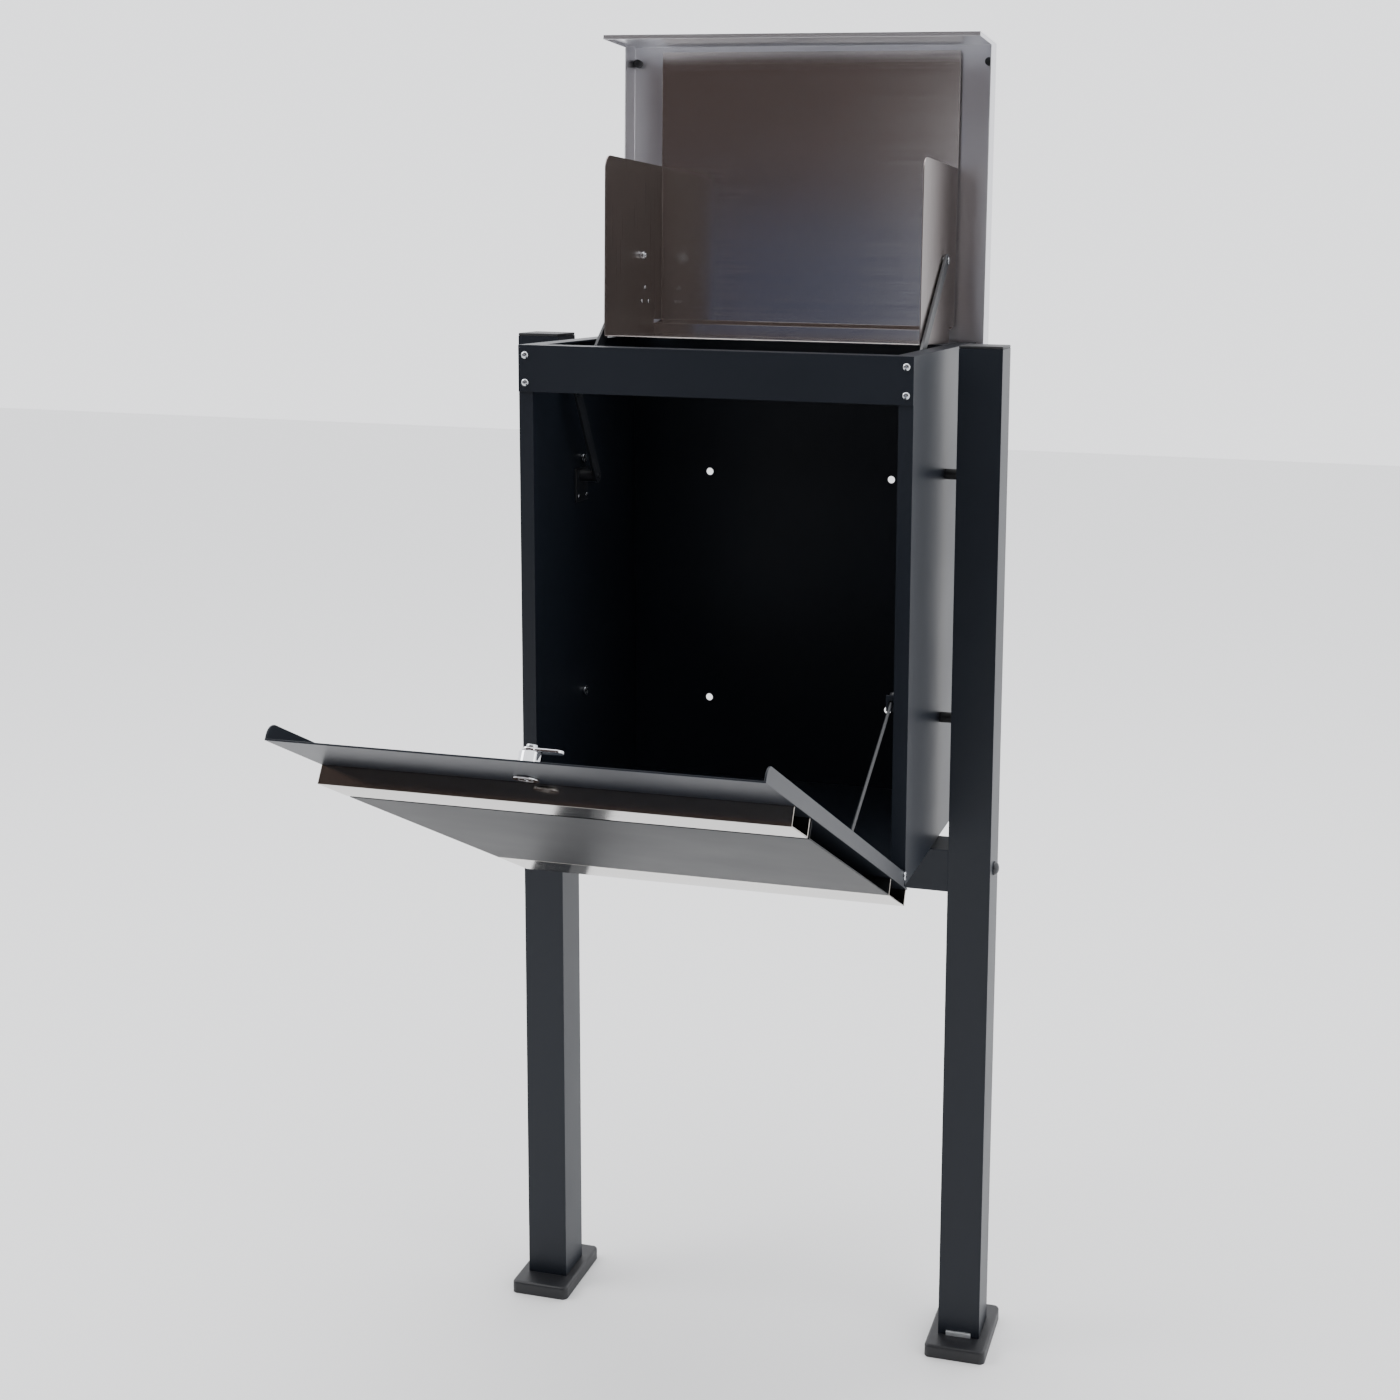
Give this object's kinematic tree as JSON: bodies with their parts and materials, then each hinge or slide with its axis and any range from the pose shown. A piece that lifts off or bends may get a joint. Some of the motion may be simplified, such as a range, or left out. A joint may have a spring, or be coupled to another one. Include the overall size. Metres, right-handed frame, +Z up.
{
  "type": "parcel letterbox",
  "caption": "Freestanding parcel box on posts, shown open: lift-up steel lid carrying an inner bucket, and a drop-down front door with trim strips and a cam lock.",
  "frame": {"origin": "on the ground midway between the two posts, on the line through the post centres", "axes": "+X to the viewer's right, -Y to the front where the door is, +Z up"},
  "size_m": [0.543, 0.792, 1.4018],
  "materials": {
    "anthracite_coat": "satin",
    "brushed_stainless": "brushed",
    "black_plastic": "matte",
    "black_steel": "satin",
    "zinc_plate": "satin",
    "chrome_plate": "polished"
  },
  "bodies": {
    "root": {"left_post": "anthracite_coat", "right_post": "anthracite_coat", "post_caps": "black_plastic", "foot_plates": "zinc_plate", "left_foot_cover": "black_plastic", "right_foot_cover": "black_plastic", "cross_beam": "anthracite_coat", "beam_bolts": "black_steel", "levelling_shim": "zinc_plate", "standoff_sleeves": "black_plastic", "standoff_bolts": "zinc_plate", "left_side_wall": "anthracite_coat", "right_side_wall": "anthracite_coat", "rear_wall": "anthracite_coat", "floor_pan": "anthracite_coat", "front_top_rail": "anthracite_coat", "rail_screws": "zinc_plate", "lid_hinge_lugs": "black_steel", "lid_hinge_pins": "black_steel", "stay_anchors": "black_steel", "anchor_rivets": "zinc_plate", "door_hinge_lugs": "anthracite_coat", "door_stay_eyelet": "anthracite_coat"},
    "lid": {"lid_panel": "brushed_stainless", "lid_hinge_leaves": "black_steel", "lid_bumpers": "black_plastic", "bucket_back": "brushed_stainless", "bucket_left_side": "brushed_stainless", "bucket_right_side": "brushed_stainless", "bucket_floor": "brushed_stainless", "bucket_rivets": "zinc_plate", "bucket_spacers": "brushed_stainless", "stay_studs": "zinc_plate"},
    "left_upper_stay": {"left_upper_stay": "black_steel"},
    "right_upper_stay": {"right_upper_stay": "black_steel"},
    "left_lower_stay": {"left_lower_stay": "black_steel"},
    "right_lower_stay": {"right_lower_stay": "black_steel"},
    "door": {"door_pan": "anthracite_coat", "upper_trim": "brushed_stainless", "centre_panel": "anthracite_coat", "lower_trim": "brushed_stainless", "door_hinge_pins": "zinc_plate", "lock_body": "chrome_plate", "lock_nut": "zinc_plate", "door_stay_pin": "brushed_stainless"},
    "lock": {"lock_plug": "chrome_plate", "lock_cam": "chrome_plate", "cam_screw": "zinc_plate"},
    "door_stay": {"door_stay": "black_steel"}
  },
  "joints": [
    {"name": "lid_hinge", "type": "hinge", "parent": "root", "child": "lid", "pos_m": [0, 0.156, 1.068], "axis": [1, 0, 0], "range_deg": [0, 91.5]},
    {"name": "left_upper_stay_hinge", "type": "hinge", "parent": "lid", "child": "left_upper_stay", "pos_m": [-0.175, 0.10351, 1.16441], "axis": [1, 0, 0], "range_deg": [-91.5, 0]},
    {"name": "left_lower_stay_hinge", "type": "hinge", "parent": "root", "child": "left_lower_stay", "pos_m": [-0.1785, -0.008, 0.93], "axis": [1, 0, 0], "range_deg": [0, 91.5]},
    {"name": "right_upper_stay_hinge", "type": "hinge", "parent": "lid", "child": "right_upper_stay", "pos_m": [0.175, 0.10351, 1.16441], "axis": [1, 0, 0], "range_deg": [-91.5, 0]},
    {"name": "right_lower_stay_hinge", "type": "hinge", "parent": "root", "child": "right_lower_stay", "pos_m": [0.1785, -0.008, 0.93], "axis": [1, 0, 0], "range_deg": [0, 91.5]},
    {"name": "door_hinge", "type": "hinge", "parent": "root", "child": "door", "pos_m": [0, -0.1581, 0.573], "axis": [1, 0, 0], "range_deg": [-62.6, 0]},
    {"name": "door_stay_pivot", "type": "hinge", "parent": "door", "child": "door_stay", "pos_m": [0.182, -0.30767, 0.64951], "axis": [1, 0, 0], "range_deg": [0, 31.3]},
    {"name": "lock_turn", "type": "hinge", "parent": "door", "child": "lock", "pos_m": [-0.012, -0.55002, 0.76433], "axis": [0, -0.4602, -0.8878], "range_deg": [0, 90]}
  ],
  "couplings": [
    {"joint": "left_upper_stay_hinge", "follows": "lid_hinge", "ratio": -1},
    {"joint": "left_lower_stay_hinge", "follows": "lid_hinge", "ratio": 1},
    {"joint": "right_upper_stay_hinge", "follows": "lid_hinge", "ratio": -1},
    {"joint": "right_lower_stay_hinge", "follows": "lid_hinge", "ratio": 1},
    {"joint": "door_stay_pivot", "follows": "door_hinge", "ratio": -0.5}
  ]
}
